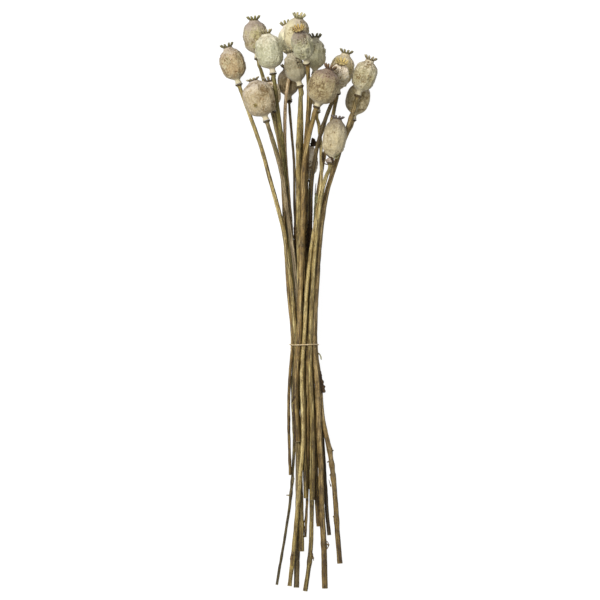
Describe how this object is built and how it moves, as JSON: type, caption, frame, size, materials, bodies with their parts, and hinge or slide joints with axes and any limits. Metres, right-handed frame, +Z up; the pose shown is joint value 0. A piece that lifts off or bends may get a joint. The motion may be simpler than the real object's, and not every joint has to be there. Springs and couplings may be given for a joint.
{
  "type": "bunch of dried poppy seed heads",
  "caption": "Lying bunch of dried poppy seed heads on long stems, with ribbed capsules and rayed crowns, held together by a thin band round the stems.",
  "frame": {"origin": "centre of the bounding box in plan, on the surface that the bunch lies on", "axes": "+Y along the stems towards the seed heads, +Z up from the surface, +X to the right as seen from above with the heads away from the viewer"},
  "size_m": [0.1788, 0.6522, 0.1004],
  "materials": {
    "capsule_beige": "dry papery skin, matte, wrinkled, with brown specks and a mauve-grey bloom near the crown",
    "capsule_green": "dry papery skin, matte, crumpled, pale grey-green",
    "stem_ochre": "dry fluted stem, satin, ochre-brown with dark lengthwise streaks",
    "stem_dark": "dry fluted stem, matte, dark brown",
    "tie_rubber": "thin smooth elastic band, pale tan, satin"
  },
  "bodies": {
    "root": {"head_01": "capsule_beige", "stem_01": "stem_dark", "head_02": "capsule_beige", "stem_02": "stem_ochre", "head_03": "capsule_green", "stem_03": "stem_ochre", "head_04": "capsule_beige", "stem_04": "stem_ochre", "head_05": "capsule_beige", "stem_05": "stem_ochre", "head_06": "capsule_green", "stem_06": "stem_dark", "head_07": "capsule_green", "stem_07": "stem_ochre", "head_08": "capsule_green", "stem_08": "stem_ochre", "head_09": "capsule_beige", "stem_09": "stem_ochre", "head_10": "capsule_beige", "stem_10": "stem_dark", "head_11": "capsule_green", "stem_11": "stem_ochre", "head_12": "capsule_beige", "stem_12": "stem_ochre", "head_13": "capsule_beige", "stem_13": "stem_ochre", "head_14": "capsule_beige", "stem_14": "stem_ochre", "head_15": "capsule_beige", "stem_15": "stem_ochre", "head_16": "capsule_beige", "stem_16": "stem_ochre", "head_17": "capsule_beige", "stem_17": "stem_dark", "head_18": "capsule_beige", "stem_18": "stem_ochre", "head_19": "capsule_beige", "stem_19": "stem_ochre", "tie": "tie_rubber"}
  },
  "joints": []
}
